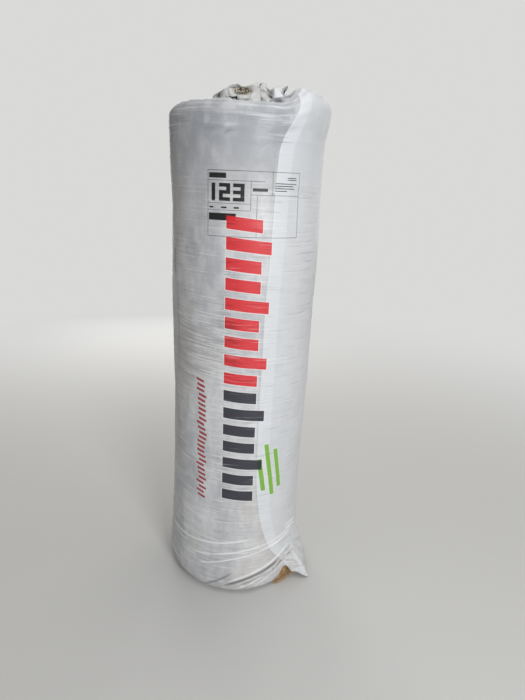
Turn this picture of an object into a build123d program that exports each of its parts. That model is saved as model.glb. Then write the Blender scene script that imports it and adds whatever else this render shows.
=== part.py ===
"""Insulation roll, standing on its end.

A long blanket of mineral wool is rolled up tight and held by one sheet of plastic
film. The sheet goes round the roll a little more than once. It is folded under the
foot, drawn over the top rim in pleats and gathered into a loose, open mouth.

The origin is on the floor at the roll's axis. +Z runs up the axis, and -Y is the
side that shows the printing. Angles are counted from -Y towards +X. Sizes are in
millimetres.
"""

import math
import os

from build123d import *

# the blanket, rolled up: its width is the height of the roll
blanket_width = 1200.0
blanket_length = 4500.0
roll_radius = 178.5
core_radius = 17.0
top_rim_radius = 24.0
foot_rim_radius = 13.0

# the joint between two turns, where it shows on the ends
joint_width = 7.0
joint_depth = 12.0

# the film: thicker than the real sheet, so that it stays a closed solid
film_thickness = 1.0
film_clearance = 0.3
foot_opening_radius = 112.0

# the pleats of the drawn-in end on top
pleat_count = 18
pleat_width = 9.0
pleat_height = 11.0
pleat_lean = 5.0
pleat_inset = 16.0

# the crumpled mouth that stands up from the gather, and its edge from left to right
gather_radius = 66.0
mouth_folds = (1.0, 0.6, 1.25, 0.8, 1.1, 0.5, 1.2, 0.9, 0.7, 1.15)
mouth_base_wave = 2.5
mouth_top_radius = 90.0
mouth_top_wave = 8.0
mouth_top_shift = 6.0
mouth_twist = 12.0
mouth_wall = 1.4
mouth_height = 64.0
mouth_edge = (
    (-115, 22), (-82, 41), (-45, 50), (-12, 60), (22, 54), (50, 33), (66, 47), (88, 43), (120, 20),
)

# the second layer of film: where its edge runs, and where the sheet ends
lap_angle = 19.0
lap_angle_at_top = 42.0
lap_angle_at_foot = 46.0
lap_end_angle = 152.0
lap_bend_height = 190.0

# the corner of the foot where the film has pulled up off the wool, and its flap
lifted_angle = 41.0
lifted_width = 116.0
lifted_height = 27.0
lifted_depth = 45.0
flap_from_angle = 50.0
flap_to_angle = 98.0
flap_root_height = 104.0
flap_hem_height = 10.0
flap_reach = 7.0

# sizes that follow
turn_thickness = math.pi * (roll_radius**2 - core_radius**2) / blanket_length
fold_seat = film_thickness + film_clearance
film_outer_radius = roll_radius + fold_seat
film_end_under = blanket_width + film_clearance
film_end_top = blanket_width + fold_seat
mouth_top = film_end_under + mouth_height
foot_rim_centre = (roll_radius - foot_rim_radius, fold_seat + foot_rim_radius)
top_rim_centre = (roll_radius - top_rim_radius, blanket_width - top_rim_radius)


def facing(angle):
    """A plane through the origin that faces outwards at an angle from -Y towards +X:
    its x runs sideways, towards larger angles, and its y runs up."""
    turned = math.radians(angle)
    sideways = (math.cos(turned), math.sin(turned), 0)
    outwards = (math.sin(turned), -math.cos(turned), 0)
    return Plane(origin=(0, 0, 0), x_dir=sideways, z_dir=outwards)


def section(angle):
    """The upright half plane at an angle: its x is the radius and its y runs up."""
    turned = math.radians(angle)
    outwards = (math.sin(turned), -math.cos(turned), 0)
    sideways = (-math.cos(turned), -math.sin(turned), 0)
    return Plane(origin=(0, 0, 0), x_dir=outwards, z_dir=sideways)


def foot_rim(outset):
    """Points up round the foot's rim, an outset away from the wool."""
    radius = foot_rim_radius + outset
    return [
        (foot_rim_centre[0] + radius * math.cos(turned), foot_rim_centre[1] + radius * math.sin(turned))
        for turned in [math.radians(-90 + 30 * step) for step in range(4)]
    ]


def top_rim(outset):
    """Points up round the top rim, an outset away from the wool."""
    radius = top_rim_radius + outset
    return [
        (top_rim_centre[0] + radius * math.cos(turned), top_rim_centre[1] + radius * math.sin(turned))
        for turned in [math.radians(22.5 * step) for step in range(5)]
    ]


def mouth_ring(radius, wave, turned, centre_x):
    """Points of a closed wavy ring: one fold out and one fold in for each size."""
    points = []
    for step in range(2 * len(mouth_folds)):
        angle = math.pi * step / len(mouth_folds) + math.radians(turned)
        reach = radius + wave * mouth_folds[step // 2] * (-1) ** step
        points.append((centre_x + reach * math.cos(angle), reach * math.sin(angle)))
    return points


def mouth_block(inset):
    """The mouth as a block, an inset smaller: flat creased facets between two rings."""
    low = [
        Vector(x, y, film_end_under)
        for x, y in mouth_ring(gather_radius - inset, mouth_base_wave, 0, 0)
    ]
    high = [
        Vector(x, y, mouth_top)
        for x, y in mouth_ring(mouth_top_radius - inset, mouth_top_wave, mouth_twist, mouth_top_shift)
    ]
    facets = [Face(Wire.make_polygon(low)), Face(Wire.make_polygon(high))]
    for step in range(len(low)):
        after = (step + 1) % len(low)
        facets.append(Face(Wire.make_polygon([low[step], low[after], high[step]])))
        facets.append(Face(Wire.make_polygon([low[after], high[after], high[step]])))
    return Solid(Shell(facets))


def pleat(angle):
    """A fold of the drawn-in end as a solid with four flat sides: it is laid over to one
    side, and runs out to a point towards the rim."""
    plane = facing(angle)
    foot = film_end_top - film_thickness / 2
    start = gather_radius + mouth_base_wave
    left = plane.from_local_coords(Vector(-pleat_width / 2, foot, start))
    right = plane.from_local_coords(Vector(pleat_width / 2, foot, start))
    ridge = plane.from_local_coords(Vector(pleat_lean, foot + pleat_height, start))
    tip = plane.from_local_coords(Vector(0, foot, roll_radius - pleat_inset))
    sides = ((left, right, ridge), (left, right, tip), (right, ridge, tip), (ridge, left, tip))
    return Solid(Shell([Face(Wire.make_polygon(corners)) for corners in sides]))


# the joint between the turns of one end: a V that winds outwards in half turns about
# two centres, and stops one turn short of the outside
half_turn_growth = turn_thickness / 2
half_turns = int((roll_radius - turn_thickness - core_radius) / half_turn_growth)
with BuildPart() as turn_joint:
    for half in range(half_turns):
        centre_x = half_turn_growth / 2 * (-1) ** half
        joint_middle = centre_x + core_radius + (half + 0.5) * half_turn_growth
        with BuildSketch(Plane.XZ):
            with BuildLine():
                Polyline(
                    (joint_middle - joint_width / 2, blanket_width),
                    (joint_middle, blanket_width - joint_depth),
                    (joint_middle + joint_width / 2, blanket_width),
                    (joint_middle + joint_width / 2, blanket_width + 1),
                    (joint_middle - joint_width / 2, blanket_width + 1),
                    close=True,
                )
            make_face()
        half_circle = 180 if half % 2 else -180
        revolve(axis=Axis((centre_x, 0, 0), (0, 0, 1)), revolution_arc=half_circle)

# the blanket: turned about the axis, with a seat for the film's fold in its foot
with BuildPart() as wool_roll:
    with BuildSketch(Plane.XZ):
        with BuildLine():
            Polyline(
                (core_radius, blanket_width),
                (core_radius, 0),
                (foot_opening_radius - film_clearance, 0),
                (foot_opening_radius - film_clearance, fold_seat),
                *foot_rim(0),
                *top_rim(0),
                close=True,
            )
        make_face()
    revolve(axis=Axis.Z)
    add(turn_joint.part, mode=Mode.SUBTRACT)
    mirror(turn_joint.part, about=Plane.XY.offset(blanket_width / 2), mode=Mode.SUBTRACT)

# the film: folded under the foot, round the roll and drawn in over the top
with BuildPart() as wrap_film:
    with BuildSketch(Plane.XZ):
        with BuildLine():
            Polyline(
                (foot_opening_radius, 0),
                *foot_rim(fold_seat),
                *top_rim(fold_seat),
                (gather_radius - 3 * mouth_base_wave, film_end_top),
                (gather_radius - 3 * mouth_base_wave, film_end_under),
                *reversed(top_rim(film_clearance)),
                *reversed(foot_rim(film_clearance)),
                (foot_opening_radius, film_thickness),
                close=True,
            )
        make_face()
    revolve(axis=Axis.Z)

    # the second layer on the side, with its edge trimmed to a bent line
    lap_foot = foot_rim_centre[1]
    lap_top = top_rim_centre[1]
    with BuildPart(mode=Mode.PRIVATE) as lap:
        with BuildSketch(section(lap_angle / 2)):
            with BuildLine():
                Polyline(
                    (film_outer_radius - film_thickness / 2, lap_foot),
                    (film_outer_radius + film_thickness, lap_foot),
                    (film_outer_radius + film_thickness, lap_top),
                    (film_outer_radius - film_thickness / 2, lap_top),
                    close=True,
                )
            make_face()
        revolve(axis=Axis.Z, revolution_arc=lap_end_angle - lap_angle / 2)
        with BuildSketch(Plane.XZ):
            with BuildLine():
                side_x = film_outer_radius * math.sin(math.radians(lap_angle))
                top_x = film_outer_radius * math.sin(math.radians(lap_angle_at_top))
                foot_x = film_outer_radius * math.sin(math.radians(lap_angle_at_foot))
                lower = Spline(
                    (foot_x, lap_foot),
                    (side_x, lap_foot + lap_bend_height),
                    tangents=((-1, 1), (0, 1)),
                )
                upper = Spline(
                    (side_x, lap_top - lap_bend_height),
                    (top_x, lap_top),
                    tangents=((0, 1), (1, 1)),
                )
                Line(lower @ 1, upper @ 0)
                Polyline(
                    upper @ 1,
                    (top_x, lap_top + film_thickness),
                    (0, lap_top + film_thickness),
                    (0, lap_foot - film_thickness),
                    (foot_x, lap_foot - film_thickness),
                    lower @ 0,
                )
            make_face()
        extrude(amount=2 * roll_radius, mode=Mode.SUBTRACT)
    add(lap.part)

    # the second layer on the rim and the drawn-in end
    with BuildSketch(section(lap_angle_at_top)):
        with BuildLine():
            Polyline(
                *top_rim(fold_seat + film_thickness),
                (gather_radius + mouth_base_wave, film_end_top + film_thickness),
                (gather_radius + mouth_base_wave, film_end_top - film_thickness / 2),
                *reversed(top_rim(fold_seat - film_thickness / 2)),
                close=True,
            )
        make_face()
    revolve(axis=Axis.Z, revolution_arc=lap_end_angle - lap_angle_at_top)

    # the mouth: a creased wall that widens and twists as it rises, and its uneven edge
    add(mouth_block(0))
    add(mouth_block(mouth_wall), mode=Mode.SUBTRACT)
    with BuildSketch(Plane.XZ):
        with BuildLine():
            Polyline(
                *[(x, film_end_top + height) for x, height in mouth_edge],
                (mouth_edge[-1][0], mouth_top + 1),
                (mouth_edge[0][0], mouth_top + 1),
                close=True,
            )
        make_face()
    extrude(amount=roll_radius, both=True, mode=Mode.SUBTRACT)

    # the pleats of the drawn-in end
    add([pleat(360 / pleat_count * number) for number in range(pleat_count)])

    # the corner of the foot where the wool shows
    with BuildSketch(facing(lifted_angle).offset(roll_radius - lifted_depth)):
        with BuildLine():
            hem = Spline(
                (-lifted_width / 2, 0),
                (-lifted_width / 5, 0.8 * lifted_height),
                (lifted_width / 5, lifted_height),
                (lifted_width / 2, 0),
            )
            Polyline(hem @ 1, (lifted_width / 2, -1), (-lifted_width / 2, -1), hem @ 0)
        make_face()
    extrude(amount=2 * lifted_depth, mode=Mode.SUBTRACT)

    # the flap beside it, hanging from the second layer
    with BuildSketch(section(flap_from_angle)):
        with BuildLine():
            flap_root = film_outer_radius + film_thickness / 2
            flap_edge = film_outer_radius + film_thickness + flap_reach
            Polyline(
                (flap_root, flap_root_height),
                (flap_edge - film_thickness, flap_hem_height),
                (flap_edge, flap_hem_height),
                (flap_root, flap_root_height + 12),
                close=True,
            )
        make_face()
    revolve(axis=Axis.Z, revolution_arc=flap_to_angle - flap_from_angle)

wool_roll.part.label = "wool_roll"
wrap_film.part.label = "wrap_film"

os.makedirs("parts", exist_ok=True)
export_step(wool_roll.part, "parts/wool_roll.step")
export_step(wrap_film.part, "parts/wrap_film.step")
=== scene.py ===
"""Insulation roll: a long blanket of mineral wool, rolled up tight in one sheet of milky
plastic film. It stands on its end. All lengths are metres, and angles count in degrees
from the printed side (-Y) towards +X.
"""

import math

import bpy
import numpy as np
from mathutils import Euler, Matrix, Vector


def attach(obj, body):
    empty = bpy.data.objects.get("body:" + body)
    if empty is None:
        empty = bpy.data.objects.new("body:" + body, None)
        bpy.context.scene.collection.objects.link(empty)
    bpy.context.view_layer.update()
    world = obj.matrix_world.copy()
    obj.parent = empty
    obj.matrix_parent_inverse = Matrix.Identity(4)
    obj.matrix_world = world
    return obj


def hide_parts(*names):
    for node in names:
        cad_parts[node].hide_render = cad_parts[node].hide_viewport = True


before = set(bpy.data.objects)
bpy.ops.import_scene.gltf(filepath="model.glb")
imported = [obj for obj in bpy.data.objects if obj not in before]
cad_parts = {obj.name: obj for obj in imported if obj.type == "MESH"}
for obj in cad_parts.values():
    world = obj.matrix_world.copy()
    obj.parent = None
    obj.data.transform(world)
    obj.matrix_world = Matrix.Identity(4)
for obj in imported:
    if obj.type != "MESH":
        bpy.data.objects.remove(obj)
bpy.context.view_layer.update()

# The camera and the room. The camera stands a little over a metre in front of the roll and
# a little lower than its top, and looks down at it, slightly tilted. The room is plain and pale.
scene = bpy.context.scene
scene.view_settings.view_transform = "Standard"

camera_place = Vector((0.0, -1.326, 1.04))
camera_down, camera_pan, camera_tilt = 17.45, 2.4, 2.35
camera_lens_mm, camera_sensor_mm = 27.0, 36.0

camera = bpy.data.objects.new("camera", bpy.data.cameras.new("camera"))
scene.collection.objects.link(camera)
camera.data.lens = camera_lens_mm
camera.data.sensor_width = camera_sensor_mm
camera.data.clip_start = 0.01
upright = Euler((math.radians(90 - camera_down), 0, math.radians(-camera_pan)))
tilted = Euler((0, 0, math.radians(camera_tilt)))
camera.matrix_world = upright.to_matrix().to_4x4() @ tilted.to_matrix().to_4x4()
camera.location = camera_place
scene.camera = camera


def fill_sockets(tree, made, inputs):
    """Gives a node's sockets their values or links."""
    for name, value in dict(inputs).items():
        if isinstance(value, bpy.types.NodeSocket):
            tree.links.new(value, made.inputs[name])
        else:
            made.inputs[name].default_value = value


def new_material(name, inputs=()):
    """A material with its node tree and its shader, whose sockets have these values."""
    material = bpy.data.materials.new(name)
    material.use_nodes = True
    tree = material.node_tree
    shader = tree.nodes["Principled BSDF"]
    fill_sockets(tree, shader, inputs)
    return material, tree, shader


def node(tree, kind, inputs=(), **settings):
    """A shader node: settings are its own values, inputs its sockets' values or links."""
    made = tree.nodes.new("ShaderNode" + kind)
    for name, value in settings.items():
        setattr(made, name, value)
    fill_sockets(tree, made, inputs)
    return made


def mesh_object(name, points, faces, smooth):
    """An object in the scene with a mesh of these points and faces."""
    mesh = bpy.data.meshes.new(name)
    mesh.from_pydata(points, [], faces)
    mesh.polygons.foreach_set("use_smooth", np.full(len(mesh.polygons), smooth))
    made = bpy.data.objects.new(name, mesh)
    scene.collection.objects.link(made)
    return made


room_colour = (0.7, 0.7, 0.69, 1)
floor_half = 9.0
floor_corners = [(x * floor_half, y * floor_half, 0) for x, y in ((-1, -1), (1, -1), (1, 1), (-1, 1))]
floor = mesh_object("floor", floor_corners, [(0, 1, 2, 3)], smooth=False)
floor_material, floor_tree, floor_shader = new_material(
    "pale_floor", {"Base Color": (0.6, 0.6, 0.59, 1), "Roughness": 0.9, "Specular IOR Level": 0.2}
)
# away from the roll the floor turns into the pale room, so that no edge of it shows
fade_from, fade_to = 0.55, 3.2
floor_place = node(floor_tree, "TexCoord").outputs["Object"]
floor_away = node(floor_tree, "VectorMath", {0: floor_place}, operation="LENGTH").outputs["Value"]
fade_range = {"Value": floor_away, "From Min": fade_from, "From Max": fade_to}
floor_fade = node(floor_tree, "MapRange", fade_range, interpolation_type="SMOOTHSTEP")
floor_seen = node(floor_tree, "LightPath").outputs["Is Camera Ray"]
floor_both = {0: floor_fade.outputs["Result"], 1: floor_seen}
floor_share = node(floor_tree, "Math", floor_both, operation="MULTIPLY")
floor_far = node(floor_tree, "Emission", {"Color": room_colour})
floor_shaders = {0: floor_share.outputs[0], 1: floor_shader.outputs[0], 2: floor_far.outputs[0]}
floor_mix = node(floor_tree, "MixShader", floor_shaders)
floor_tree.links.new(floor_mix.outputs[0], floor_tree.nodes["Material Output"].inputs["Surface"])
floor.data.materials.append(floor_material)

world = bpy.data.worlds.new("room")
scene.world = world
world.use_nodes = True
room = world.node_tree
room_light = room.nodes["Background"]
fill_sockets(room, room_light, {"Color": (1.0, 0.98, 0.955, 1), "Strength": 0.26})
room_seen = node(room, "Background", {"Color": room_colour})
seen_by_camera = node(room, "LightPath").outputs["Is Camera Ray"]
room_shaders = {0: seen_by_camera, 1: room_light.outputs[0], 2: room_seen.outputs[0]}
room_mix = node(room, "MixShader", room_shaders)
room.links.new(room_mix.outputs[0], room.nodes["World Output"].inputs[0])


def soft_lamp(name, place, target, size, power, colour):
    """A square area lamp that faces its target."""
    lamp = bpy.data.lights.new(name, "AREA")
    lamp.size = size
    lamp.energy = power
    lamp.color = colour
    stand = bpy.data.objects.new(name, lamp)
    scene.collection.objects.link(stand)
    stand.location = place
    stand.rotation_euler = (Vector(target) - Vector(place)).to_track_quat("-Z", "Y").to_euler()


soft_lamp("window", (1.0, -2.65, 1.45), (0, 0, 0.6), 0.9, 51, (0.98, 0.99, 1.0))
soft_lamp("ceiling", (0.2, -0.1, 3.1), (0, 0, 0.9), 1.4, 20, (1.0, 0.99, 0.97))
soft_lamp("behind_right", (1.6, 2.5, 1.6), (0, 0, 0.6), 2.2, 21, (1.0, 0.985, 0.96))
soft_lamp("behind_left", (-0.7, 2.8, 0.85), (0, 0, 0.6), 1.4, 34, (1.0, 0.985, 0.96))

# The rolled blanket: brown mineral wool, pressed to a fifth of its loose thickness and
# wound from a small core outwards. Its turns show on both ends. The film draws it in
# above the foot on one side, and it bulges at the foot on the other.
roll_height = 1.2
core_radius = 0.017
turn_thickness = 0.022

# the roll's radius at each height, on its left, right, front and back
left_form = (
    (0.0, 0.185), (0.05, 0.189), (0.11, 0.186), (0.17, 0.182), (0.26, 0.179), (0.38, 0.177), (0.5, 0.175),
    (0.66, 0.177), (0.8, 0.178), (0.95, 0.177), (1.1, 0.18), (1.2, 0.181),
)
right_form = (
    (0.0, 0.181), (0.05, 0.178), (0.11, 0.172), (0.17, 0.169), (0.25, 0.167), (0.34, 0.169),
    (0.49, 0.173), (0.63, 0.177), (0.77, 0.179), (0.89, 0.181), (1.05, 0.179), (1.2, 0.181),
)
front_form = (
    (0.0, 0.187), (0.08, 0.184), (0.2, 0.179), (0.34, 0.177), (0.6, 0.178), (0.9, 0.18), (1.2, 0.18),
)
back_form = (
    (0.0, 0.18), (0.12, 0.177), (0.3, 0.175), (0.6, 0.177), (0.9, 0.179), (1.2, 0.18),
)

# the angles of the left, front, right, back and left side, and how far both rims are rounded there
form_angles = (-82.0, 0.0, 82.0, 180.0, 278.0)
foot_rounding = (0.041, 0.019, 0.021, 0.028, 0.041)
top_rounding = (0.024, 0.026, 0.034, 0.036, 0.024)


def eased(x):
    """A smooth step from 0 to 1."""
    x = np.clip(x, 0.0, 1.0)
    return x * x * (3.0 - 2.0 * x)


def level_between(x, low, high, blend):
    """1 between two limits and 0 beyond them, eased inside both."""
    return eased((x - low) / blend) * eased((high - x) / blend)


def between_sides(angle, values):
    """Blends the values of the left, front, right, back and left side at an angle."""
    angle = (np.asarray(angle, float) - form_angles[0]) % 360.0 + form_angles[0]
    out = np.zeros(np.broadcast(angle, values[0]).shape)
    for side in range(4):
        start, end = form_angles[side], form_angles[side + 1]
        here = (angle >= start) & (angle < end + 1e-9)
        share = eased((angle - start) / (end - start))
        out = np.where(here, values[side] * (1 - share) + values[side + 1] * share, out)
    return out


def curve_at(points, place):
    """The value at a place on a smooth curve through points, level beyond its ends."""
    places, values = np.array(points).T
    slopes = np.gradient(values, places)
    place = np.clip(place, places[0], places[-1])
    after = np.clip(np.searchsorted(places, place, side="right"), 1, len(places) - 1)
    before = after - 1
    gap = places[after] - places[before]
    t = (place - places[before]) / gap
    return (
        (2 * t**3 - 3 * t**2 + 1) * values[before]
        + (t**3 - 2 * t**2 + t) * gap * slopes[before]
        + (3 * t**2 - 2 * t**3) * values[after]
        + (t**3 - t**2) * gap * slopes[after]
    )


def roll_radius(angle, height):
    """The radius of the wrapped roll at an angle and a height, without its roundings."""
    sides = [curve_at(form, height) for form in (left_form, front_form, right_form, back_form)]
    return between_sides(angle, [*sides, sides[0]])


def smooth_noise(x, y, seed, wrap=0):
    """Value noise of cell size 1. With wrap, x repeats after that many cells."""
    cells = np.random.default_rng(seed).uniform(-1, 1, (256, 256))
    x0, y0 = np.floor(x).astype(int), np.floor(y).astype(int)
    fx, fy = eased(x - x0), eased(y - y0)
    size = wrap or 256
    corners = [cells[(x0 + i) % size, (y0 + j) % 256] for i in (0, 1) for j in (0, 1)]
    low = corners[0] * (1 - fy) + corners[1] * fy
    high = corners[2] * (1 - fy) + corners[3] * fy
    return low * (1 - fx) + high * fx


def around(angle, radius, height):
    """Points at an angle, a radius and a height."""
    turned = np.radians(angle)
    return np.stack(np.broadcast_arrays(radius * np.sin(turned), -radius * np.cos(turned), height), -1)


# the wool ends a little inside the film on its side, foot and top
wool_inset, wool_lift, wool_drop = 0.0032, 0.003, 0.002
end_rings, side_rings, core_rings, foot_rings, top_rings = 84, 40, 6, 22, 14

# columns of points stand closer where the film leaves the wool open at the foot
wool_angles = np.concatenate([np.arange(-290.0, 16.0, 1.7), np.arange(16.0, 70.0, 0.8)])

# at that open corner the wool springs out, almost to the floor
open_from, open_to, open_blend = 29.0, 64.0, 12
open_share = level_between(wool_angles, open_from, open_to + 8, open_blend)

# each turn stands highest in its middle, and the joint to the next one is sunk in
turn_crown, joint_depth, joint_width = 0.0035, 0.01, 0.0024
end_sink, end_radius, end_blend = 0.002, 0.172, 0.015


def turned_end(radius, angle, seed):
    """How far an end of the roll sinks in, most at the joints between its turns."""
    winding = (radius - core_radius) / turn_thickness - angle / 360.0
    from_joint = np.abs(winding - np.round(winding)) * turn_thickness
    crown = turn_crown * (1 - np.clip(2 * from_joint / turn_thickness, 0, 1)) ** 2
    joint = joint_depth * np.exp(-((from_joint / joint_width) ** 2))
    x, y = radius * np.sin(np.radians(angle)), radius * np.cos(np.radians(angle))
    rough = 0.0014 * smooth_noise(x / 0.009, y / 0.009, seed)
    rough += 0.0008 * smooth_noise(x / 0.0035, y / 0.0035, seed + 1)
    loose = 0.003 * smooth_noise(winding, angle / 40.0, seed + 2)
    at_core = eased((radius - core_radius) / 0.004)
    fade = at_core * eased((end_radius - radius) / end_blend)
    return (crown + joint + loose + end_sink) * fade + rough * at_core


# rings of points run down the bore, out over the foot, up the side, in over the top and back
rings = []
for ring in range(core_rings):
    rings.append(around(wool_angles, core_radius, roll_height / 2 * (1 - ring / core_rings)))
foot_reach = between_sides(wool_angles, foot_rounding) * (1 - 0.5 * open_share)
top_reach = between_sides(wool_angles, top_rounding)
foot_outer = roll_radius(wool_angles, 0.0) - wool_inset - foot_reach
for share in np.linspace(0, 1, end_rings):
    radius = core_radius + share * (foot_outer - core_radius)
    rings.append(around(wool_angles, radius, wool_lift + np.maximum(turned_end(radius, wool_angles, 11), 0)))
for share in np.linspace(0, 1, foot_rings)[1:]:
    turn = share * math.pi / 2
    height = wool_lift + foot_reach * (1 - math.cos(turn))
    tuft = smooth_noise(wool_angles / 1.9 + 300, height / 0.005 + 7, 51)
    tuft += 0.6 * smooth_noise(wool_angles / 0.9 + 300, height / 0.0028, 52)
    radius = foot_outer + foot_reach * math.sin(turn)
    radius = radius + open_share * (0.0022 * tuft + 0.0015) * math.sin(turn)
    rings.append(around(wool_angles, radius, np.maximum(height + 0.001 * tuft * open_share, 0.001)))
for share in np.linspace(0, 1, side_rings)[1:]:
    height = foot_reach + (roll_height - foot_reach - top_reach) * share
    rings.append(around(wool_angles, roll_radius(wool_angles, height) - wool_inset, height))
top_outer = roll_radius(wool_angles, roll_height) - wool_inset - top_reach
for share in np.linspace(0, 1, top_rings)[1:]:
    turn = share * math.pi / 2
    radius = top_outer + top_reach * math.cos(turn)
    rings.append(around(wool_angles, radius, roll_height - wool_drop - top_reach * (1 - math.sin(turn))))
for share in np.linspace(1, 0, end_rings)[1:]:
    radius = core_radius + share * (top_outer - core_radius)
    rings.append(around(wool_angles, radius, roll_height - wool_drop - turned_end(radius, wool_angles, 21)))
for ring in range(1, core_rings):
    rings.append(around(wool_angles, core_radius, roll_height - roll_height / 2 * ring / core_rings))
rings.append(rings[0])
rows, columns = len(rings), len(wool_angles)
i, j = np.meshgrid(np.arange(rows - 1), np.arange(columns), indexing="ij")
k = (j + 1) % columns
ring_faces = np.stack([i * columns + j, i * columns + k, (i + 1) * columns + k, (i + 1) * columns + j], -1)
ring_points = np.array(rings).reshape(-1, 3)
wool = mesh_object("wool_blanket", ring_points.tolist(), ring_faces.reshape(-1, 4).tolist(), smooth=True)

wool_material, wool_tree, wool_shader = new_material(
    "brown_mineral_wool", {"Roughness": 1.0, "Specular IOR Level": 0.1}
)
wool_place = node(wool_tree, "TexCoord").outputs["Object"]
wool_felt = node(wool_tree, "TexNoise", {"Vector": wool_place, "Scale": 46.0, "Detail": 6.0})
wool_colour = node(wool_tree, "ValToRGB", {"Fac": wool_felt.outputs["Fac"]})
wool_shades = ((0.34, (0.17, 0.103, 0.053, 1)), (0.7, (0.6, 0.4, 0.21, 1)))
for shade, (position, shade_colour) in zip(wool_colour.color_ramp.elements, wool_shades):
    shade.position = position
    shade.color = shade_colour
wool_grain = node(wool_tree, "TexNoise", {"Vector": wool_place, "Scale": 420.0, "Detail": 4.0})
wool_relief = {"Height": wool_grain.outputs["Fac"], "Strength": 0.8, "Distance": 0.002}
wool_bump = node(wool_tree, "Bump", wool_relief)
wool_look = {"Base Color": wool_colour.outputs["Color"], "Normal": wool_bump.outputs["Normal"]}
fill_sockets(wool_tree, wool_shader, wool_look)
wool.data.materials.append(wool_material)
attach(wool, "root")
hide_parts("wool_roll")

# The loose fibres: thin tufts of the same mineral wool. They have come out of the blanket where
# the film is torn open at the foot, and hang onto the floor.
tufts, tuft_fibres, fibre_steps = 170, 14, 5
fibre_width = 0.00034
tuft_spread, tuft_inner, tuft_outer = 28, 0.172, 0.187
lying = np.arange(tufts) % 3 == 0
draw = np.random.default_rng(71)
tuft_angle = open_to - tuft_spread * draw.uniform(0, 1, tufts) ** 1.3
tuft_rise = np.where(lying, 0.001, draw.uniform(0.002, 0.024, tufts))
tuft_radius = np.where(lying, draw.uniform(tuft_inner, tuft_outer, tufts), tuft_inner + 0.1 * tuft_rise)
tuft_centres = around(tuft_angle, tuft_radius, tuft_rise)
fibre_tuft = np.repeat(np.arange(tufts), tuft_fibres)
outwards = around(tuft_angle, 1.0, 0.0)[fibre_tuft]
at = tuft_centres[fibre_tuft] + draw.normal(size=(len(fibre_tuft), 3)) * (0.0032, 0.0032, 0.0016)
heading = draw.normal(size=at.shape) * (1, 1, 0.5) + 0.5 * outwards
side = np.cross(heading, draw.normal(size=at.shape))
side *= 0.5 * fibre_width / np.linalg.norm(side, axis=1, keepdims=True)
fibre_points = []
for step in range(fibre_steps + 1):
    at[:, 2] = np.maximum(at[:, 2], 0.0008)
    fibre_points.append(np.stack([at - side, at + side], 1))
    heading += 0.55 * draw.normal(size=at.shape) * (1, 1, 0.6)
    reach = draw.uniform(0.0012, 0.0026, (len(at), 1))
    at = at + heading / np.linalg.norm(heading, axis=1, keepdims=True) * reach
fibre_grid = np.stack(fibre_points, 1).reshape(-1, 3)
fibre_start = np.arange(len(fibre_tuft))[:, None] * 2 * (fibre_steps + 1)
fibre_quads = fibre_start[..., None] + 2 * np.arange(fibre_steps)[None, :, None] + np.array([0, 1, 3, 2])
fibres = mesh_object("wool_fibres", fibre_grid.tolist(), fibre_quads.reshape(-1, 4).tolist(), smooth=False)
# the fibres are lighter than the blanket's wool, as painted light against the shade among their thin tangled
# ribbons
lightened_fibre_finish = {"Base Color": (0.72, 0.46, 0.22, 1), "Roughness": 1.0, "Specular IOR Level": 0.1}
fibres.data.materials.append(new_material("loose_wool_fibres", lightened_fibre_finish)[0])
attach(fibres, "root")

# The wrap: one sheet of milky film. It starts under itself at the front, goes round the
# roll once and a third, and ends on the back. It is folded under the foot, and drawn over
# the top rim into a crumpled, open mouth. It is stretched tight, so it is full of creases.
one_turn = 360
film_radius = 0.178
covered_edge, outer_edge = 16, 512
layer_step = 0.0009
floor_gap = 0.0006
sheet_from, crease_to, side_to, sheet_to = -0.085, 0.17, 1.125, 1.402

# the angle of the covered edge at each height, as it shows through on the front
edge_line = (
    (0.0, 54.0), (0.05, 46.9), (0.105, 32.6), (0.185, 21.7), (0.28, 16.6), (0.47, 14.8), (0.65, 15.5),
    (0.8, 16.6), (0.95, 19.0), (1.07, 21.0), (1.12, 23.0), (1.16, 28.9), (1.2, 39.0), (1.26, 52.0),
)

# the sheet's lower edge: folded under the foot, but torn loose at the front right, where
# it climbs to a point, drops again and hangs over the floor as a loose skirt
lower_edge = (
    (-180.0, -0.085), (2.0, -0.085), (10.0, -0.084), (19.0, -0.058), (25.6, -0.024), (31.0, -0.005),
    (35.7, 0.009), (44.9, 0.034), (47.5, 0.04), (50.0, 0.036), (54.0, 0.02), (58.0, 0.004), (60.0, 0.002),
    (72.0, 0.003), (90.0, 0.004), (104.0, 0.002), (112.0, -0.03), (121.0, -0.084), (130.0, -0.085),
    (180.0, -0.085),
)
skirt_reach = (
    (46.0, 0.0), (50.0, 0.014), (54.0, 0.033), (58.5, 0.056), (61.0, 0.048), (67.0, 0.038), (72.0, 0.034),
    (82.0, 0.023), (92.0, 0.017), (104.0, 0.009), (114.0, 0.0),
)
skirt_root = 0.128
foot_pleats = 34

# columns of points stand a degree apart on the drawn-in top, and on the body only at the
# front. Where the second layer lies over them they stand further apart, and the first few
# follow the covered edge
even_from, single_from = 136, 150
front_from, front_to = 264, 456
top_columns = np.concatenate([
    np.arange(covered_edge, even_from, 12),
    np.arange(even_from, single_from, 2),
    np.arange(single_from, outer_edge + 1),
])
body_columns = np.flatnonzero(
    (top_columns < single_from)
    | ((top_columns >= front_from) & (top_columns <= front_to))
    | (top_columns % 3 == 0)
    | (top_columns == outer_edge)
)
lower_rows = np.concatenate([np.linspace(sheet_from, 0.0, 12), np.linspace(0.0, crease_to, 78)[1:]])
side_rows = np.linspace(crease_to, side_to, 176)[1:-1]
top_rows = np.linspace(side_to, sheet_to, 77)


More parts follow.
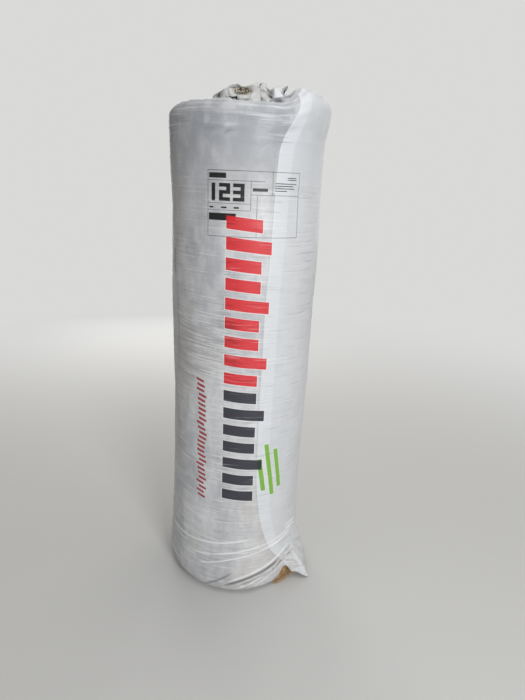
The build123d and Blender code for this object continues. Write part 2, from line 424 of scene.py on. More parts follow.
def sheet_form(angle, along):
    """The smooth wrap: radius, height and normal at an angle and a length along the sheet."""
    foot_arc = between_sides(angle, foot_rounding)
    side = np.maximum(along, foot_arc)
    turn = np.clip((foot_arc - along) / foot_arc, 0, math.pi / 2)
    under = np.maximum(foot_arc * (1 - math.pi / 2) - along, 0)
    radius = roll_radius(angle, side) - foot_arc * (1 - np.cos(turn)) - under
    return radius, side - foot_arc * np.sin(turn), np.cos(turn), -np.sin(turn)


def place_columns(columns, along):
    """The angle and the length past the covered edge of each point of the sheet."""
    start = curve_at(edge_line, along)
    share = np.clip((columns - covered_edge) / (even_from - covered_edge), 0, 1)
    angle = np.where(columns < even_from, start + (even_from - start) * share, columns)
    return angle, (angle - one_turn - start) * math.pi / 180.0 * film_radius


def turned_within(angle):
    """The same angle between -180 and 180 degrees."""
    return (angle + 180.0) % one_turn - 180.0


def second_layer(past):
    """How far the sheet stands out over its first layer, past the covered edge."""
    return layer_step * eased(past / 0.0035 + 0.5)


def stroke(relief, shown, along, angle, place, length, slope, bow, width, depth):
    """Adds a wrinkle: a ridge with a furrow under it, that fades out at both ends."""
    run = turned_within(shown - angle) * math.pi / 180.0 * film_radius
    near = (np.abs(run) < 0.75 * length).any(0)
    run = run[:, near]
    off = (along[:, near] - place - slope * run - bow * run**2) / width
    fade = np.exp(-((2 * run / length) ** 4))
    relief[:, near] += depth * fade * (np.exp(-(off**2)) - 0.7 * np.exp(-((off + 1.7) ** 2)))


# each patch: how many, angles, heights, lengths, widths, depths and slope of its wrinkles
wrinkle_patches = (
    (110, (-180, 180), (0.10, 1.16), (0.06, 0.20), (0.0050, 0.0085), (0.0003, 0.0008), -0.04),
    (26, (-60, -14), (0.58, 0.79), (0.05, 0.12), (0.0044, 0.0060), (0.0003, 0.0008), -0.07),
    (16, (2, 30), (1.08, 1.17), (0.04, 0.08), (0.0040, 0.0056), (0.0002, 0.0006), 0.05),
    (9, (-25, -10), (1.130, 1.156), (0.015, 0.035), (0.0038, 0.0050), (0.0003, 0.0008), 0.4),
    (26, (24, 112), (1.150, 1.275), (0.03, 0.10), (0.0044, 0.0070), (0.0006, 0.0014), 0.3),
    (24, (-10, 60), (0.45, 1.00), (0.05, 0.12), (0.0044, 0.0065), (0.0004, 0.0009), -0.06),
    (30, (-90, 60), (0.12, 0.30), (0.05, 0.14), (0.0040, 0.0060), (0.0004, 0.0009), -0.03),
    (60, (90, 270), (0.10, 1.15), (0.06, 0.20), (0.0050, 0.0090), (0.0005, 0.0012), -0.02),
    (26, (-180, 180), (1.150, 1.205), (0.06, 0.16), (0.0040, 0.0055), (0.0004, 0.0010), 0.0),
)

# long creases: at the foot, where the film is pulled up towards the loose skirt, and over
# the top rim. Each has its line (angle, length up the sheet), its width, and its depth,
# below 0 for a furrow
long_creases = (
    (((-84, 0.156), (-69.7, 0.143), (-42.6, 0.141), (-16.5, 0.149), (-3.3, 0.155), (16, 0.163)),
     0.0025, 0.0022),
    (((-42, 0.101), (-26.9, 0.109), (4, 0.128), (18.7, 0.135), (36.8, 0.14), (66, 0.156)), 0.0024, 0.0024),
    (((-37, 0.072), (-20, 0.089), (-5.5, 0.103), (10.3, 0.113), (29.3, 0.124), (64, 0.143)), 0.0025, 0.0023),
    (((-80, 0.062), (-66, 0.052), (-50, 0.05)), 0.003, 0.0014),
    (((-14, 0.016), (9.7, 0.042), (27.7, 0.058), (41.6, 0.07), (60, 0.098)), 0.0038, -0.004),
    (((0, 0.022), (17.3, 0.037), (38.6, 0.055), (51.6, 0.07), (62, 0.09)), 0.0032, -0.0036),
    (((-32, 0.004), (-11, 0.043), (2, 0.074)), 0.004, -0.0014),
    (((12, 0.01), (28, 0.034), (42, 0.05), (56, 0.076)), 0.0036, 0.0034),
    (((-6, 0.006), (14, 0.03), (34, 0.056), (56, 0.091)), 0.0032, 0.0024),
    (((-10, 0.03), (12, 0.056), (34, 0.078), (58, 0.106)), 0.004, 0.0024),
    (((42, 0.168), (58, 0.16), (76, 0.145)), 0.0028, 0.0018),
    (((44, 0.158), (60, 0.146), (76, 0.124)), 0.0028, 0.002),
    (((100, 0.162), (124, 0.148), (150, 0.14), (177, 0.146)), 0.0028, 0.002),
    (((108, 0.11), (132, 0.096), (164, 0.088)), 0.0028, 0.0018),
    (((-177, 0.126), (-150, 0.119), (-118, 0.138), (-92, 0.15)), 0.0028, 0.0018),
    (((-172, 0.072), (-140, 0.064), (-112, 0.078)), 0.003, 0.0016),
    (((-62, 1.196), (-24, 1.193), (20, 1.189), (50, 1.186)), 0.0034, 0.0009),
    (((-40, 1.208), (0, 1.203), (44, 1.198)), 0.0034, 0.0011),
    (((-16, 1.22), (20, 1.214), (56, 1.208)), 0.0034, 0.0012),
    (((-66, 1.182), (-34, 1.179), (10, 1.174), (40, 1.17)), 0.0034, 0.0006),
)

# each crease fades out at both ends, and marks the film the more, the higher or deeper it is
crease_blend = 12
mark_height, crease_mark, most_mark = 0.0035, 0.0015, 1.2


def wrinkled(shown, along):
    """How far wrinkles lift the sheet, and how much its creases mark it, at each point."""
    relief = np.zeros_like(along)
    draw = np.random.default_rng(41)
    for count, angle_span, place_span, lengths, widths, depths, slope in wrinkle_patches:
        for _ in range(count):
            at = (draw.uniform(*angle_span), draw.uniform(*place_span), draw.uniform(*lengths))
            bend = (draw.normal(slope, 0.06), draw.normal(0.2, 0.5))
            stroke(relief, shown, along, *at, *bend, draw.uniform(*widths), draw.uniform(*depths))
    mark = relief / mark_height
    for points, width, depth in long_creases:
        first, last = points[0][0], points[-1][0]
        off = (along - curve_at(points, shown)) / width
        fade = level_between(shown, first, last, crease_blend)
        relief += depth * fade * (np.exp(-(off**2)) - 0.5 * np.exp(-((off + 1.8) ** 2)))
        strength = min(abs(depth) / crease_mark, most_mark)
        mark += np.sign(depth) * fade * np.exp(-((off / 0.9) ** 2)) * strength
    lumps = smooth_noise(shown / 20.0 + 9, along / 0.11, 3, wrap=18) * 0.0011
    lumps += smooth_noise(shown / 9.0 + 20, along / 0.045, 4, wrap=40) * 0.0005
    relief = np.maximum(relief + lumps * eased((along - 0.01) / 0.05), -wool_inset + 0.0007)
    return relief, np.clip(mark, -most_mark, most_mark)


# the body of the sheet, from the part folded under the foot to the top
lower_shares = (lower_rows[:, None] - sheet_from) / (crease_to - sheet_from)
body_turns = top_columns[body_columns]
torn = curve_at(lower_edge, turned_within(place_columns(body_turns, 0.0)[0]))
along = np.concatenate([
    torn + (crease_to - torn) * lower_shares,
    np.repeat(side_rows[:, None], len(body_turns), 1),
])
angles, past_edge = place_columns(body_turns, along)
shown = turned_within(angles)
radii, heights, normal_out, normal_up = sheet_form(shown, along)
relief, crease = wrinkled(shown, along)
offset = relief * (radii > 0.1) * (normal_up > -0.999) + second_layer(past_edge)

# the loose skirt stands out from its root, ripples and crumples
hang = np.clip((skirt_root - along) / skirt_root, 0, 1.05) ** 1.5
skirt = curve_at(skirt_reach, shown)
fan_middle, fan_radius, fan_top = 56, 0.18, 0.105
fan = np.arctan2(np.radians(shown - fan_middle) * fan_radius, fan_top - along)
ripple = 0.64 * (np.arcsin(np.sin(fan * 17)) + 0.6 * np.arcsin(np.sin(fan * 33 + 1.3)))
crumple = np.abs(smooth_noise(shown / 3.1 + 100, along / 0.012 + 5, 61)) * 2 - 0.7
crumple += 0.5 * smooth_noise(shown / 1.7 + 100, along / 0.007, 62)
rough_edge = (0.0046 * ripple + 0.0042 * crumple) * eased(skirt / 0.04)
skirt_out = hang * (skirt * (1 + 0.1 * ripple) + rough_edge)
radii = radii + offset * normal_out + skirt_out
heights = np.maximum(heights + offset * normal_up, 0) + floor_gap

# what is folded under the foot lies in flat pleats
tucked = eased((-along - 0.014) / 0.034)
sway = 80 * smooth_noise(shown / 24.0 + 15, along / 0.06, 63, wrap=15)
pleat = np.sin(np.radians(foot_pleats * shown + sway))
heights += 0.0011 * tucked * (0.5 + 0.5 * pleat)
# the pleats' fold lines are marked in the crease, which the material paints as shade and highlight
crease -= 1.1 * tucked * np.exp(-(((1 + pleat) / 0.1) ** 2))
crease += 0.7 * tucked * np.exp(-(((1 - pleat) / 0.06) ** 2))
body_points = around(angles, radii, heights)

# The top is drawn in as a tube of film is: a cloth of springs, with a column of points to
# each two degrees, is pulled together over the rim and crumpled, and keeps its lengths.
tube_columns = 180
tube_radius = 0.18
puff_from, puff_to, puff_blend = 22, 112, 34
puff_height, puff_width, puff_rim = 0.034, 0.0085, 0.004
neck_length, neck_radius = 0.07, 0.095
gathered_from, slack_radius = 1.225, 0.192
mouth_folds, fold_height = 15, 0.007
mouth_lift, neck_sink = 0.00005, 0.00008
draw_steps, draw_rounds = 240, 5
kept_speed, kept_pull = np.float32(0.9), np.float32(0.42)
tube_rows = np.linspace(side_to, sheet_to, (len(top_rows) + 1) // 2)
tube_angles = turned_within(np.arange(tube_columns) * one_turn / tube_columns)
tube_rim = between_sides(tube_angles, top_rounding)
tube_puff = level_between(tube_angles, puff_from, puff_to, puff_blend)
tube_wall = roll_radius(tube_angles, 1.15)

# how high the crumpled film stands, by its place across the front
skyline = (
    (-0.2, 1.212), (-0.11, 1.222), (-0.075, 1.232), (-0.05, 1.24), (-0.036, 1.254), (-0.02, 1.26),
    (0.0, 1.263), (0.02, 1.262), (0.036, 1.258), (0.049, 1.24), (0.06, 1.254), (0.078, 1.257),
    (0.095, 1.249), (0.107, 1.242), (0.137, 1.245), (0.156, 1.24), (0.17, 1.23), (0.2, 1.21),
)


def kept_lengths(cloth, links):
    """Moves the cloth's points so that each link comes nearer to its length."""
    pull = np.zeros_like(cloth)
    rows = len(cloth)
    for down, over, length, least, stiff in links:
        ends = np.roll(cloth, -over, 1)[down:]
        way = ends - cloth[: rows - down]
        now = np.sqrt(np.einsum("ijk,ijk->ij", way, way)) + np.float32(1e-9)
        excess = now - np.float32(length * least)
        if least < 1:
            # these only keep the cloth from folding up too small
            excess = np.minimum(excess, 0)
        part = (np.float32(0.5 * stiff) * excess / now)[..., None] * way
        pull[: rows - down] += part
        pull[down:] -= np.roll(part, over, 1)
    return cloth + pull * kept_pull


def off_the_rim(cloth):
    """Keeps the cloth outside the rounded rim and above the roll's end."""
    x, y, z = cloth[..., 0], cloth[..., 1], cloth[..., 2]
    radius = np.sqrt(x * x + y * y)
    turn = np.degrees(np.arctan2(x, -y)) % one_turn
    puff, rim, wall = [
        np.interp(turn * tube_columns / one_turn, np.arange(tube_columns + 1), np.append(table, table[0]))
        for table in (tube_puff, tube_rim, tube_wall)
    ]
    rim = rim + puff_rim * puff
    top = roll_height + 0.002 + puff_height * puff * eased((radius - neck_radius) / 0.05)
    edge = wall + 0.001 + puff_width * puff * eased((z - 1.14) / 0.05)

    # out and up count from the middle of the rounding
    out, up = radius - (edge - rim), z - (top - rim)
    away = np.sqrt(out * out + up * up) + 1e-9
    corner = (out > 0) & (up > 0) & (away < rim)
    new_radius = np.where(corner, edge - rim + out * rim / away, radius)
    new_height = np.where(corner, top - rim + up * rim / away, z)
    new_height = np.where(out <= 0, np.maximum(new_height, top), new_height)
    new_radius = np.where(up <= 0, np.maximum(new_radius, edge), new_radius)
    share = new_radius / (radius + 1e-9)
    return np.stack([x * share, y * share, new_height], -1).astype(np.float32)


def drawn_top():
    """The top of the tube after it is drawn in: its points, in rows up the sheet."""
    draw = np.random.default_rng(1)

    # at the start the loose end of the tube stands in uneven folds
    folds = np.zeros(tube_columns)
    fold_widths = draw.uniform(0.5, 1.6, mouth_folds)
    ends = np.concatenate([[0], np.cumsum(fold_widths)]) / fold_widths.sum() * tube_columns
    half = tube_columns / 2
    for first, last in zip(ends, ends[1:]):
        off = (np.arange(tube_columns) - (first + last) / 2 + half) % tube_columns - half
        folds += draw.uniform(0.6, 1.4) * np.exp(-((off / (0.28 * (last - first))) ** 2))
    folds -= folds.mean()
    loose = eased((tube_rows - roll_height + 0.02) / 0.06)[:, None]
    start = roll_radius(tube_angles, tube_rows[:, None]) + 0.0005 - fold_height * loose * folds
    cloth = around(tube_angles, start, tube_rows[:, None])
    cloth += 0.0006 * draw.normal(size=cloth.shape) * loose[..., None]
    cloth = cloth.astype(np.float32)
    held = cloth[:3].copy()

    up_step = tube_rows[1] - tube_rows[0]
    over_step = 2 * math.pi * tube_radius / tube_columns
    across_step = math.hypot(up_step, over_step)
    links = (
        # rows down, columns over, length, least share of it, stiffness
        (0, 1, over_step, 1, 1.0),
        (1, 0, up_step, 1, 1.0),
        (1, 1, across_step, 1, 0.35),
        (1, -1, across_step, 1, 0.35),
        (0, 2, 2 * over_step, 0.82, 0.5),
        (2, 0, 2 * up_step, 0.93, 0.6),
        (0, 4, 4 * over_step, 0.42, 0.4),
        (4, 0, 4 * up_step, 0.8, 0.4),
    )
    rim = tube_rim + puff_rim * tube_puff
    inward = tube_rows[:, None] - (roll_height - rim + rim * math.pi / 2)
    drawn_radius = np.maximum(tube_radius - rim - inward, neck_radius)
    before = cloth.copy()
    for step in range(draw_steps):
        # the neck closes first, and then the mouth is crushed down
        closed = eased(step / (0.6 * draw_steps))
        crushed = eased((step / draw_steps - 0.45) / 0.4)
        cloth, before = cloth + (cloth - before) * kept_speed, cloth

        # the mouth stands up, and the film below it sinks onto the roll's end
        weight = np.where(inward > neck_length, mouth_lift * (1 - 0.7 * crushed), -neck_sink)
        cloth[..., 2] += (weight * (inward > 0)).astype(np.float32)

        # how far out and how high each row may stand
        drawn_in = tube_radius + (drawn_radius - tube_radius) * closed
        widest = np.where(inward > -0.03, drawn_in, slack_radius)
        low_part = roll_height + 0.05 * (1 - closed) + 0.012 + 0.25 * np.clip(inward, 0, 1)
        low_part = low_part + puff_height * tube_puff
        low_part = np.where((inward > 0) & (inward < neck_length), low_part, np.inf)
        for _ in range(draw_rounds):
            cloth = kept_lengths(cloth, links)
            radius = np.sqrt(cloth[..., 0] ** 2 + cloth[..., 1] ** 2)
            share = 0.5 + 0.5 * np.minimum(1.0, widest / (radius + 1e-9))
            cloth[..., :2] *= share[..., None].astype(np.float32)
            x, y, z = cloth[..., 0], cloth[..., 1], cloth[..., 2]

            # the mouth stays under its skyline, which dips at the open fold in front
            roof = np.interp(x, *np.array(skyline).T)
            roof -= 0.02 * np.exp(-(((x + 0.008) / 0.028) ** 2)) * eased((-0.02 - y) / 0.04)
            roof = np.minimum(low_part, roof + 0.1 * (1 - crushed))
            cloth[..., 2] = np.where(z > roof, z + (roof - z) * 0.4, z)

            cloth = off_the_rim(cloth)
            cloth[:3] = held
    return cloth.astype(float)


def doubled(rows, wraps):
    """Rows of points with one more between each two of them, on a smooth curve."""
    ends = (rows[-1:], rows[:2]) if wraps else (2 * rows[:1] - rows[1:2], 2 * rows[-1:] - rows[-2:-1])
    line = np.concatenate([ends[0], rows, ends[1]])
    middles = (9 * (line[1:-2] + line[2:-1]) - line[:-3] - line[3:]) / 16
    out = np.empty((len(rows) + len(middles), *rows.shape[1:]))
    out[0::2], out[1::2] = rows, middles
    return out


# the gathered part is rounded off, and then given four points for each one
cloth = drawn_top()
for _ in range(3):
    near = np.roll(cloth, 1, 1) + np.roll(cloth, -1, 1)
    near[1:-1] += cloth[:-2] + cloth[2:]
    near[-1] += 2 * cloth[-1]
    rounder = 0.5 * eased((tube_rows - gathered_from) / 0.02)[:, None, None]
    cloth += rounder * (near / 4 - cloth)
tube = doubled(cloth, wraps=False)
tube = doubled(tube.transpose(1, 0, 2), wraps=True).transpose(1, 0, 2)

# two folds of the mouth stand open to the front: the wool shows brown in the wide one, and the narrow
#  one gets painted shade. Each has its place across and up, its half size and its depth
open_folds = (
    ((-0.0136, 1.232), (0.0225, 0.0088), 0.02),
    ((0.047, 1.234), (0.0068, 0.017), 0.022),
)
fold_hollows = []
for fold_place, fold_size, fold_depth in open_folds:
    from_fold = [(tube[..., axis] - fold_place[k]) / fold_size[k] for k, axis in enumerate((0, 2))]
    from_fold = np.where(tube[..., 1] < -0.03, np.hypot(*from_fold), 9.0)
    hollow = np.exp(-(from_fold**2))
    tube[..., 1] += fold_depth * (hollow - 0.2 * np.exp(-(((from_fold - 1.7) / 0.45) ** 2)))
    fold_hollows.append(hollow[..., None])
tube_along = np.roll(tube, -1, 1) - np.roll(tube, 1, 1)
tube_normal = np.cross(tube_along, np.gradient(tube, axis=0))
tube_normal /= np.linalg.norm(tube_normal, axis=-1, keepdims=True) + 1e-12
top_along = np.repeat(top_rows[:, None], len(top_columns), 1)
top_angles, top_past = place_columns(top_columns, top_along)
whole = np.floor(top_angles).astype(int)
part = (top_angles - whole)[..., None]
row_of = np.arange(len(top_rows))[:, None]
tube_at, normal_at, hollow_at, fold_shade_at = [
    grid[row_of, whole % one_turn] * (1 - part) + grid[row_of, (whole + 1) % one_turn] * part
    for grid in (tube, tube_normal, *fold_hollows)
]
top_relief, top_crease = wrinkled(turned_within(top_angles), top_along)
puffed = level_between(turned_within(whole), puff_from, puff_to, puff_blend)
smooth_part = eased((1.228 + 0.05 * puffed - top_along) / 0.02)
top_relief *= smooth_part
top_offset = top_relief + second_layer(top_past)
top_points = tube_at + normal_at * top_offset[..., None]

# both parts are one mesh: its wider cells on the body meet several of the top's
body_rows, body_width = along.shape
top_height, top_width = top_along.shape
first_top = body_rows * body_width


def cells(first, rows, width):
    """The faces of a grid of points, row by row, from the number of its first point on."""
    lows = [first + row * width + column for row in range(rows - 1) for column in range(width - 1)]
    return [(low, low + 1, low + 1 + width, low + width) for low in lows]


sheet_faces = cells(0, body_rows, body_width)
for column in range(body_width - 1):
    low = (body_rows - 1) * body_width + column
    upper = range(body_columns[column + 1], body_columns[column] - 1, -1)
    sheet_faces.append((low, low + 1, *(first_top + k for k in upper)))
sheet_faces += cells(first_top, top_height, top_width)
sheet_points = np.concatenate([body_points.reshape(-1, 3), top_points.reshape(-1, 3)])
film = mesh_object("wrap_film_sheet", sheet_points.tolist(), sheet_faces, smooth=True)
film_mesh = film.data

# each point keeps its place on the flat sheet and its marks, which the material reads
sheet_marks = {
    "across": [np.radians(part - one_turn) * film_radius for part in (angles, top_angles)],
    "along": (along, top_along),
    "past_edge": (past_edge, top_past),
    # the crease mark also carries the painted shade of the narrow open fold
    "crease": (crease, top_crease * smooth_part - 0.9 * fold_shade_at[..., 0]),
    "hollow": (np.zeros_like(along), hollow_at),
}
for name, values in sheet_marks.items():
    value = np.concatenate([part.ravel() for part in values]).astype(np.float32)
    film_mesh.attributes.new(name, "FLOAT", "POINT").data.foreach_set("value", value)

# its own map spreads the sheet out flat, with the most room for the printed front
map_columns = (covered_edge, even_from, front_from, front_to, outer_edge)
map_across = np.interp(top_columns, map_columns, (0, 0.03, 0.24, 0.88, 1.0))
map_up = np.linspace(0, 1, body_rows + top_height)
flat_map = np.concatenate([
    np.stack(np.meshgrid(map_across[body_columns], map_up[:body_rows]), -1).reshape(-1, 2),
    np.stack(np.meshgrid(map_across, map_up[body_rows:]), -1).reshape(-1, 2),
])
corner_points = np.zeros(len(film_mesh.loops), int)
film_mesh.loops.foreach_get("vertex_index", corner_points)
film_map = film_mesh.uv_layers.new(name="OFBake")
film_map.uv.foreach_set("vector", flat_map[corner_points].astype(np.float32).ravel())

film_material, film_tree, film_shader = new_material(
    "milky_film", {"Coat Weight": 0.12, "Coat Roughness": 0.28}
)


def calc(operation, *values):
    """A sum, a product or the like of numbers and sockets, in the film's material."""
    return node(film_tree, "Math", dict(enumerate(values)), operation=operation).outputs[0]


def times(first, *others):
    """The product of numbers and sockets."""
    for other in others:
        first = calc("MULTIPLY", first, other)
    return first


def rest_of(share):
    """What a share leaves of 1."""
    return calc("SUBTRACT", 1.0, share)


def step_up(value, at, blur):
    """0 below a value and 1 above it, with a blurred edge."""
    limits = {"Value": value, "From Min": at - blur, "From Max": at + blur}
    return node(film_tree, "MapRange", limits, interpolation_type="SMOOTHSTEP").outputs["Result"]


def between(value, low, high, blur=0.0004):
    """1 between two values and 0 beyond them."""
    return times(step_up(value, low, blur), rest_of(step_up(value, high, blur)))


def area(left, right, low, high, side_blur=0.0003, end_blur=0.0003):
    """1 inside a rectangle of the flat sheet and 0 outside it, with blurred edges."""
    return times(between(across, left, right, side_blur), between(up, low, high, end_blur))


def painted(base, paint, share):
    """A colour over another by a share from 0 to 1."""
    return node(film_tree, "Mix", {0: share, 6: base, 7: paint}, data_type="RGBA").outputs[2]


def film_value(name):
    """A mark that the points of the sheet keep."""
    return node(film_tree, "Attribute", attribute_name=name).outputs["Fac"]


def film_noise(scale, detail, upwards=1, roughness=0.5):
    """Cloudy noise in the film, drawn out upwards where that value is under 1."""
    scaled = node(film_tree, "Mapping", {"Vector": film_place, "Scale": (1, 1, upwards)})
    spots = {"Vector": scaled.outputs[0], "Scale": scale, "Detail": detail, "Roughness": roughness}
    return node(film_tree, "TexNoise", spots).outputs["Fac"]


film_place = node(film_tree, "TexCoord").outputs["Object"]
across, up, past, creased = [film_value(name) for name in ("across", "along", "past_edge", "crease")]

# the film is milky in clouds, and evenly so round the sides and back. Near the top it is less milky, which
# is painted shade
film_grey, film_milky = (0.465, 0.475, 0.5, 1), (0.695, 0.703, 0.718, 1)
clings = step_up(film_noise(8.0, 5.0, 0.45, 0.62), 0.5, 0.11)
clouds = step_up(film_noise(34.0, 5.0, 0.7, 0.65), 0.52, 0.13)
near_top = step_up(up, 1.07, 0.1)
far_side = step_up(calc("ABSOLUTE", across), 0.25, 0.08)
milky = calc("ADD", times(clings, 0.56), times(clouds, 0.44))
milky = times(milky, rest_of(times(near_top, 0.6)), rest_of(times(far_side, 0.45)))
milky = calc("ADD", milky, times(far_side, 0.36))
colour = painted(film_grey, film_milky, milky)

# the wool tints it where it lies close, and at the front of the top it gets painted shade, grey and patchy
wool_tint, top_shade_grey, spot_white = (0.55, 0.51, 0.46, 1), (0.35, 0.37, 0.405, 1), (0.64, 0.645, 0.65, 1)
tint = times(step_up(film_noise(5.0, 3.0, 0.6), 0.56, 0.1), 0.45)
colour = painted(colour, wool_tint, times(tint, rest_of(near_top)))
front_top = times(near_top, rest_of(far_side))
top_shade_patches = calc("MULTIPLY_ADD", step_up(film_noise(17.0, 4.0, 0.45), 0.5, 0.07), 0.42, 0.34)
colour = painted(colour, top_shade_grey, times(front_top, top_shade_patches))
pale_spots = times(step_up(film_noise(30.0, 5.0, 0.8), 0.6, 0.075), front_top)
colour = painted(colour, spot_white, times(pale_spots, 0.45))


def stretched_lines(long, fine, slope):
    """Fine level lines, as stretched film has: how long, how fine and how sloped they are."""
    leaning = calc("ADD", up, times(across, slope))
    lengthwise, crosswise = times(across, 1 / long), times(leaning, 1 / fine)
    place = node(film_tree, "CombineXYZ", {"X": lengthwise, "Y": crosswise}).outputs[0]
    streaks = {"Vector": place, "Scale": 1.0, "Detail": 3.0, "Roughness": 0.55}
    return node(film_tree, "TexNoise", streaks).outputs["Fac"]


# the lines are clearest at the waist, where they slope, and over the rim and its corners.
# They are faint near the top and far from the front, and the gathered mouth has none
level_lines = stretched_lines(0.11, 0.005, 0.02)
sloped_lines = stretched_lines(0.08, 0.0038, 0.07)
waist = area(-0.19, 0.02, 0.58, 0.78, 0.045, 0.05)
shoulder = area(0.02, 0.09, 1.12, 1.175, 0.03, 0.02)
over_rim = area(-0.26, 0.12, 1.165, 1.222, 0.04, 0.014)
left_top = area(-0.27, -0.15, 1.1, 1.19, 0.04, 0.03)
lines = calc("ADD", times(level_lines, rest_of(waist)), times(sloped_lines, waist))
calm = calc("SUBTRACT", calc("ADD", 1.0, waist), times(near_top, 0.62))
calm = times(calm, rest_of(times(far_side, 0.35)))
tight = calc("ADD", calm, times(shoulder, 1.2))
tight = calc("ADD", tight, calc("ADD", times(over_rim, 0.7), times(left_top, 0.7)))
stretched = rest_of(step_up(up, gathered_from, 0.02))
lines = calc("ADD", 0.5, times(calc("SUBTRACT", lines, 0.5), tight, stretched))
# the gathered mouth is painted pale cream: partly the paler crumpled film, partly painted light in its
# shaded folds
gathered_cream_light = (0.67, 0.665, 0.64, 1)
colour = painted(colour, gathered_cream_light, times(step_up(up, 1.256, 0.034), 0.75))

# past the covered edge the film is double and whiter, most of all in a band along the edge
double_white, edge_white, edge_shade_grey = (0.69, 0.708, 0.732, 1), (0.8, 0.83, 0.87, 1), (0.36, 0.37, 0.39, 1)
twice = step_up(past, 0.0, 0.0006)
colour = painted(colour, double_white, times(twice, 0.74))
colour = painted(colour, edge_white, times(between(past, 0.0004, 0.034, 0.0008), 0.38))
# just before the covered edge runs a thin line of painted shade, where the second layer steps up
colour = painted(colour, edge_shade_grey, times(between(past, -0.0012, -0.0002), 0.55))

# each fine line has a painted highlight on one side and painted shade on the other
highlight_and_outline_white, line_shade_grey = (0.82, 0.83, 0.84, 1), (0.3, 0.305, 0.32, 1)
shaded_furrows = rest_of(step_up(lines, 0.37, 0.05))
line_share = calc("SUBTRACT", 0.42, times(twice, 0.1))
highlight_share = times(line_share, rest_of(times(shoulder, 0.7)))
colour = painted(colour, highlight_and_outline_white, times(step_up(lines, 0.63, 0.05), highlight_share))
shade_share = calc("ADD", line_share, times(shoulder, 0.2))
colour = painted(colour, line_shade_grey, times(shaded_furrows, shade_share))

# the print: red and dark grey slanted bars up the front, a frame of boxes above them, and
# three green strokes and a line of small dark red dashes beside them. Bars and strokes
# have thin white outlines
red, charcoal, red_furrow_shade = (0.7, 0.01, 0.018, 1), (0.014, 0.017, 0.032, 1), (0.1, 0.01, 0.016, 1)
green, dark_red = (0.175, 0.45, 0.01, 1), (0.36, 0.014, 0.022, 1)
black, tick_grey = (0.01, 0.01, 0.012, 1), (0.16, 0.16, 0.17, 1)
outline = 0.0016
bar_pitch, bar_gap, bar_height, bar_slant = 0.0443, 0.005, 0.0275, 0.1
bar_left, bar_right, longer_bar = -0.04, 0.0385, 0.021
column_top, red_bars, all_bars = 0.976, 9, 16


def bars(grow):
    """The big bars, each grown by a margin, and how far down their column each point is."""
    leaning = calc("ADD", up, times(across, bar_slant))
    down = calc("SUBTRACT", column_top, leaning)
    count = calc("FLOOR", calc("DIVIDE", down, bar_pitch))
    within = calc("SUBTRACT", down, times(count, bar_pitch))
    in_bar = between(within, bar_gap - grow, bar_gap + bar_height + grow)
    third = calc("COMPARE", calc("MODULO", count, 3.0), 1.0, 0.1)
    right_end = calc("ADD", bar_right + grow, times(third, longer_bar))
    in_right = rest_of(step_up(calc("SUBTRACT", across, right_end), 0.0, 0.0004))
    in_left = step_up(across, bar_left - grow, 0.0004)
    in_column = between(down, 0.0, all_bars * bar_pitch)
    return times(in_bar, in_column, times(in_right, in_left)), down


bars_outlined, _ = bars(outline)
inked, bar_down = bars(0.0)
bar_paint = painted(red, charcoal, step_up(bar_down, red_bars * bar_pitch, 0.0004))

frame_left, frame_right, frame_low, frame_high = -0.083, 0.122, 0.93, 1.066
frame_rule = 0.0009
label_boxes = (
    # left, right, low and high edge of each
    # three plain figures: one, two and three
    (-0.0740, -0.0655, 1.0040, 1.0400),
    (-0.0570, -0.0330, 1.0325, 1.0400),
    (-0.0570, -0.0330, 1.0183, 1.0258),
    (-0.0570, -0.0330, 1.0040, 1.0115),
    (-0.0415, -0.0330, 1.0200, 1.0400),
    (-0.0570, -0.0485, 1.0040, 1.0240),
    (-0.0270, -0.0030, 1.0325, 1.0400),
    (-0.0270, -0.0030, 1.0183, 1.0258),
    (-0.0270, -0.0030, 1.0040, 1.0115),
    (-0.0115, -0.0030, 1.0040, 1.0400),
    # the frame's outline and its rules
    (frame_left, frame_right, frame_high - frame_rule, frame_high),
    (frame_left, frame_right, frame_low, frame_low + frame_rule),
    (frame_left, frame_left + frame_rule, frame_low, frame_high),
    (frame_right - frame_rule, frame_right, frame_low, frame_high),
    (frame_left, 0.040, 1.0452, 1.0460),
    (frame_left, 0.010, 0.9850, 0.9858),
    (frame_left, 0.010, 0.9990, 0.9998),
    (0.0100, 0.0108, 0.9850, 1.0460),
    (0.0235, 0.0243, 0.9300, 1.0180),
    (0.0100, 0.1220, 1.0180, 1.0188),
    (0.0560, 0.0568, 1.0180, 1.0660),
    # blocks and lines in place of words
    (-0.0800, -0.0420, 1.0500, 1.0605),
    (-0.0800, -0.0200, 0.9640, 0.9790),
    (-0.0790, -0.0700, 0.9890, 0.9925),
    (-0.0520, -0.0400, 0.9890, 0.9925),
    (-0.0250, -0.0140, 0.9890, 0.9925),
    (0.0140, 0.0460, 1.0255, 1.0320),
    (0.0620, 0.1130, 1.0420, 1.0436),
    (0.0620, 0.1050, 1.0370, 1.0386),
    (0.0620, 0.1090, 1.0320, 1.0336),
    (0.0620, 0.0900, 1.0270, 1.0286),
    (0.0900, 0.1130, 1.0540, 1.0556),
    (0.0900, 0.1130, 1.0500, 1.0516),
)
label = area(*label_boxes[0])
for edges in label_boxes[1:]:
    label = calc("MAXIMUM", label, area(*edges))

stroke_places = ((0.052, 0.3, 0.392), (0.076, 0.283, 0.43), (0.1, 0.3, 0.412))
stroke_width, stroke_slant, stroke_middle = 0.0125, 0.16, 0.355


def green_strokes(grow):
    """The three slanted strokes, each grown by a margin."""
    leaning = calc("ADD", across, times(calc("SUBTRACT", up, stroke_middle), stroke_slant))
    strokes = 0.0
    for left, low, high in stroke_places:
        wide = between(leaning, left - grow, left + stroke_width + grow)
        strokes = calc("MAXIMUM", strokes, times(wide, between(up, low - grow, high + grow)))
    return strokes


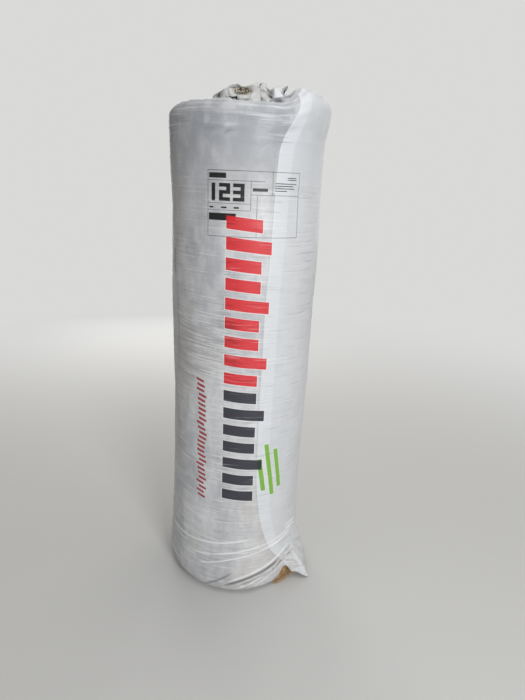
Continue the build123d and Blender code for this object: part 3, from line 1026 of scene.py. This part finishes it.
# the dashes stand in a slanted line, each a little to one side of it
dash_top, dash_length, dash_pitch, dash_slant = 0.57, 0.325, 0.0125, 0.25
dash_line, dash_uneven = -0.101, 0.008
dash_down = calc("SUBTRACT", dash_top, calc("ADD", up, times(across, dash_slant)))
dash_count = calc("FLOOR", calc("DIVIDE", dash_down, dash_pitch))
dash_within = calc("SUBTRACT", dash_down, times(dash_count, dash_pitch))
dash_shift = calc("FRACT", times(calc("SINE", times(dash_count, 12.9)), 43.7))
dash_middle = calc("ADD", dash_line, times(dash_shift, dash_uneven))
dashes = times(
    between(dash_within, 0.002, 0.0082, 0.0003),
    between(dash_down, 0.0, dash_length),
    between(calc("SUBTRACT", across, dash_middle), -0.012, 0.01),
)

# two columns of fine grey ticks stand on the left side
tick_pitch = 0.0048
tick_columns = calc(
    "ADD",
    area(-0.208, -0.197, 0.835, 0.892, 0.0004, 0.0004),
    times(area(-0.193, -0.182, 0.585, 0.815, 0.0004, 0.0004), 0.6),
)
ticks = times(tick_columns, between(calc("FRACT", calc("DIVIDE", up, tick_pitch)), 0.25, 0.72, 0.06))

outlined = calc("MAXIMUM", bars_outlined, green_strokes(outline))
for paint, share in (
    (highlight_and_outline_white, times(outlined, 0.85)),
    (black, label),
    (dark_red, times(dashes, 0.95)),
    (tick_grey, times(ticks, 0.75)),
    (green, times(green_strokes(0.0), 0.94)),
    (bar_paint, times(inked, 0.97)),
    # painted shade in the furrows of the fine lines, over the print
    (red_furrow_shade, times(shaded_furrows, inked, 0.4)),
):
    colour = painted(colour, paint, share)

# stretched folds turn white, also over the print, partly as painted highlight, as do the light sides of the
# fine lines; furrows get painted shade, grey and in the deepest black.
# Dust lies on the film at the foot, and the wool shows brown in the open fold
stress_white_and_highlight, furrow_shade_grey, furrow_shade_black = (0.86, 0.87, 0.88, 1), (0.13, 0.13, 0.14, 1), (0.035, 0.035, 0.04, 1)
dust_brown, hollow_brown, hollow_tan = (0.36, 0.32, 0.27, 1), (0.17, 0.135, 0.095, 1), (0.58, 0.54, 0.46, 1)
fold_share = calc("SUBTRACT", 0.8, times(near_top, 0.45))
furrowed = times(creased, -1.0)
dust = times(step_up(film_noise(60.0, 6.0), 0.52, 0.14), rest_of(step_up(up, 0.035, 0.05)))
wool_seen = painted(hollow_brown, hollow_tan, step_up(film_noise(210.0, 3.0), 0.52, 0.08))
for paint, share in (
    (stress_white_and_highlight, times(step_up(lines, 0.65, 0.05), 0.16)),
    (stress_white_and_highlight, times(step_up(creased, 0.45, 0.33), fold_share)),
    # painted shade in the furrows: grey, and black in the deepest
    (furrow_shade_grey, times(step_up(furrowed, 0.42, 0.33), 0.6)),
    (furrow_shade_black, times(step_up(furrowed, 0.98, 0.14), 0.65)),
    (dust_brown, times(dust, 0.5)),
    (wool_seen, step_up(film_value("hollow"), 0.42, 0.16)),
):
    colour = painted(colour, paint, share)

gloss = calc("ADD", times(near_top, 0.16), calc("MULTIPLY_ADD", film_noise(22.0, 5.0), 0.3, 0.38))
film_height = calc("ADD", times(lines, 0.8), times(film_noise(160.0, 3.0), 0.2))
film_bump = node(film_tree, "Bump", {"Height": film_height, "Strength": 0.8, "Distance": 0.002})
film_look = {"Base Color": colour, "Roughness": gloss, "Normal": film_bump.outputs["Normal"]}
fill_sockets(film_tree, film_shader, film_look)
film.data.materials.append(film_material)
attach(film, "root")
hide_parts("wrap_film")
